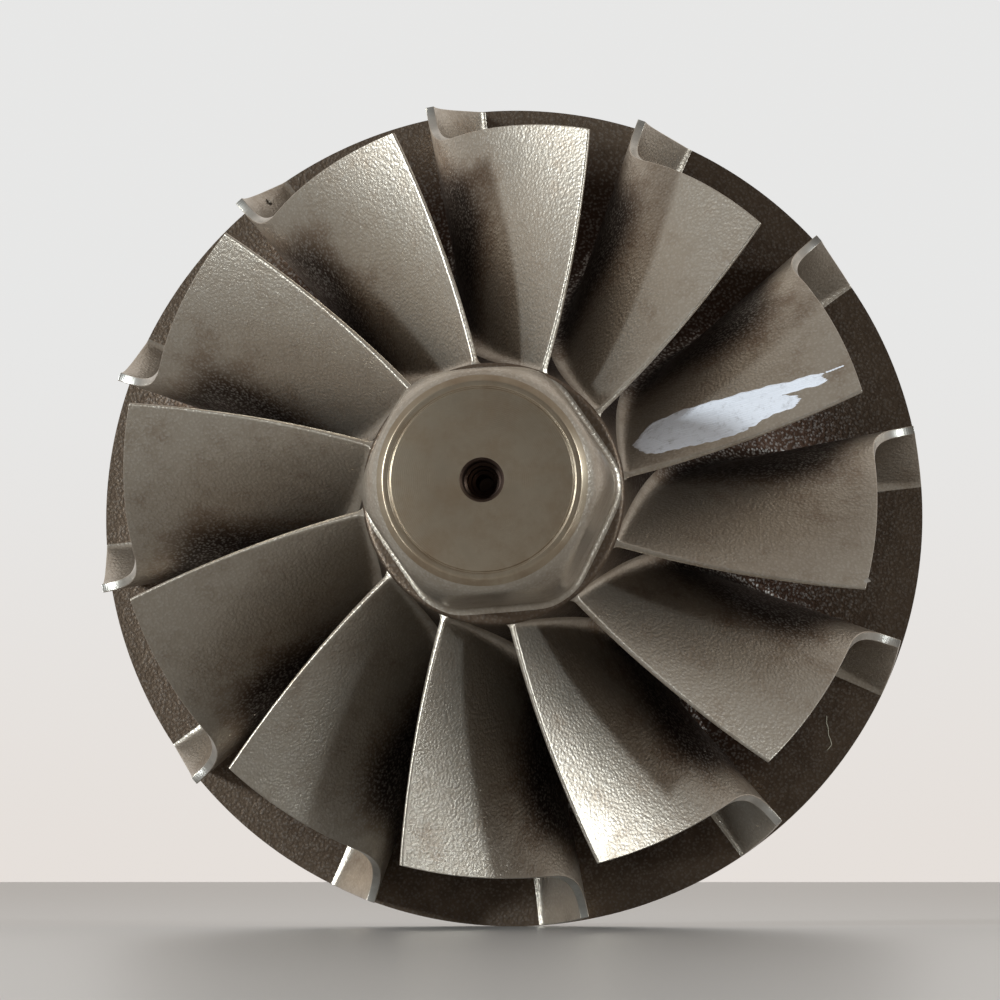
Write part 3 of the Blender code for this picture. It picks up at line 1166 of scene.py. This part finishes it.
@dataclass(frozen=True)
class Window:
    """A soft light that points at the wheel.

    Attributes:
        name: Its name.
        bearing: Its angle round the wheel, in degrees counter-clockwise from the right as seen from the nose.
        forward: How far it stands out of the wheel's plane towards the nose, in degrees.
        distance: Distance from the wheel.
        size: Side of its square.
        power: Its power in watts.
        colour: Its colour.
    """

    name: str
    bearing: float
    forward: float
    distance: float
    size: float
    power: float
    colour: Colour = (1.0, 1.0, 1.0)

    def build(self) -> None:
        """Builds the light."""
        turn, out = math.radians(self.bearing), math.radians(self.forward)
        way = Vector((math.cos(out) * math.cos(turn), -math.sin(out), math.cos(out) * math.sin(turn)))
        data = bpy.data.lights.new(self.name, "AREA")
        data.size = self.size
        data.energy = self.power
        data.color = self.colour
        made = bpy.data.objects.new(self.name, data)
        made.location = way * self.distance
        made.rotation_mode = "QUATERNION"
        made.rotation_quaternion = (-way).to_track_quat("-Z", "Y")
        bpy.context.scene.collection.objects.link(made)


@dataclass
class Studio:
    """Floor, lights, backdrop and camera."""

    azimuth: float = 3.61
    elevation: float = -4.33
    distance: float = 0.520
    lens: float = 178.02
    aim_left: float = 0.00128
    aim_up: float = 0.00168
    floor_station: float = -0.0430
    windows: tuple[Window, ...] = (
        Window("left_window", 168.0, 41.0, 0.90, 0.09, 6.4, (0.90, 1.0, 1.06)),
        Window("right_window", 15.0, 32.0, 0.90, 0.09, 2.6, (0.90, 1.0, 1.06)),
    )

    def camera(self) -> None:
        """Sets the camera at the photograph's viewing angle."""
        turn, rise = math.radians(self.azimuth), math.radians(self.elevation)
        back = Vector((math.sin(turn) * math.cos(rise), -math.cos(turn) * math.cos(rise), math.sin(rise)))
        look = (-back).to_track_quat("-Z", "Y")
        aim = look @ Vector((-self.aim_left, self.aim_up, 0.0))
        data = bpy.data.cameras.new("camera")
        data.lens = self.lens
        data.sensor_width = 36.0
        data.clip_start, data.clip_end = 0.01, 50.0
        made = bpy.data.objects.new("camera", data)
        made.location = aim + back * self.distance
        made.rotation_mode = "QUATERNION"
        made.rotation_quaternion = look
        bpy.context.scene.collection.objects.link(made)
        bpy.context.scene.camera = made

    def floor(self) -> None:
        """Lays the pale floor."""
        size = 3.0
        mesh = bpy.data.meshes.new("floor")
        corners = [(-size, -size), (size, -size), (size, size), (-size, size)]
        mesh.from_pydata([(x, y, self.floor_station) for x, y in corners], [], [(0, 1, 2, 3)])
        made = bpy.data.objects.new("floor", mesh)
        bpy.context.scene.collection.objects.link(made)
        material = bpy.data.materials.new("pale_floor")
        material.use_nodes = True
        board = Board(material.node_tree)
        shader = board.node(
            "ShaderNodeBsdfPrincipled",
            {
                "Base Color": (0.42, 0.40, 0.38),
                "Roughness": 0.32,
                "IOR": 1.50,
            },
        )
        board.node("ShaderNodeOutputMaterial", {"Surface": shader.outputs[0]})
        mesh.materials.append(material)

    def world(self) -> None:
        """Makes the backdrop, which lights the wheel from the sides more than from the front."""
        world = bpy.data.worlds.new("studio")
        bpy.context.scene.world = world
        world.use_nodes = True
        board = Board(world.node_tree)
        direction = board.node("ShaderNodeTexCoord").outputs["Generated"]
        parts = board.node("ShaderNodeSeparateXYZ", {0: direction})
        front = board.math("MULTIPLY", parts.outputs["Y"], -1.0)
        side = board.blend(board.step(parts.outputs["Z"], 0.20, 0.80), (0.20, 0.186, 0.172), (0.34, 0.32, 0.30))
        around = board.blend(board.step(front, -0.60, 0.10), (0.84, 0.80, 0.76), side)
        light = board.blend(board.step(front, 0.60, 0.90), around, (0.12, 0.115, 0.11))
        seen = board.blend(board.step(parts.outputs["Z"], -0.02, 0.12), (0.79, 0.74, 0.70), (0.80, 0.80, 0.795))
        path = board.node("ShaderNodeLightPath").outputs["Is Camera Ray"]
        shown = board.blend(path, light, seen)
        back = board.node("ShaderNodeBackground", {"Color": shown, "Strength": 1.0})
        board.node("ShaderNodeOutputWorld", {"Surface": back.outputs[0]})

    def build(self) -> None:
        """Builds the whole studio."""
        self.camera()
        self.floor()
        self.world()
        for window in self.windows:
            window.build()
        scene = bpy.context.scene
        scene.view_settings.view_transform = "Standard"
        LOG.info("studio is set")


def main() -> None:
    """Builds the wheel, its shaft and the studio."""
    logging.basicConfig(level=logging.INFO, format="%(message)s")
    cast = CastSkin().material()
    cut = TurnedSkin("cut_edge", (0.66, 0.63, 0.58), (0.46, 0.43, 0.38), tint_share=0.15).material()
    rim = TurnedSkin("turned_rim", (0.30, 0.28, 0.24), (0.16, 0.14, 0.11)).material()
    lathe = TurnedSkin("turned_back", (0.44, 0.41, 0.37), (0.30, 0.27, 0.23)).material()
    face = TurnedSkin("turned_nose", (0.46, 0.38, 0.28), (0.34, 0.26, 0.18), tint_share=0.35).material()
    steel = TurnedSkin("ground_steel_skin", (0.60, 0.60, 0.59), (0.50, 0.50, 0.49), roughness=0.24, tint_share=0.05).material()
    bead = TurnedSkin("weld_skin", (0.42, 0.40, 0.38), (0.24, 0.20, 0.20), tint_share=0.4).material()
    bore = TurnedSkin("dark_bore", (0.10, 0.065, 0.05), (0.05, 0.032, 0.025), roughness=0.45).material()
    # a darker copy of the cast skin for the hub's flow surface and the pit's floor: partly soot, partly painted shade
    sooted_and_shaded = CastSkin(
        "sooted_and_shaded_skin", (0.150, 0.108, 0.076), (0.095, 0.065, 0.044), (0.022, 0.010, 0.005),
        grain_height=0.00003, speckle_and_glint=0.08, roughness=0.42,
    ).material()
    path = FlowPath()
    Hub(path).build(sooted_and_shaded, rim, lathe)
    ring = BladeRing()
    ring.build(cast, cut)
    PaintStroke(ring).build(BrushPaint().material())
    CastingMarks(ring).build(cast, sooted_and_shaded, cut, BrushPaint("pale_fibre", (0.55, 0.50, 0.38), (0.40, 0.36, 0.26)).material())
    HexagonNose().build(cast, face, bore)
    RotorShaft().build(steel, bead)
    Studio().build()


if __name__ == "__main__":
    main()
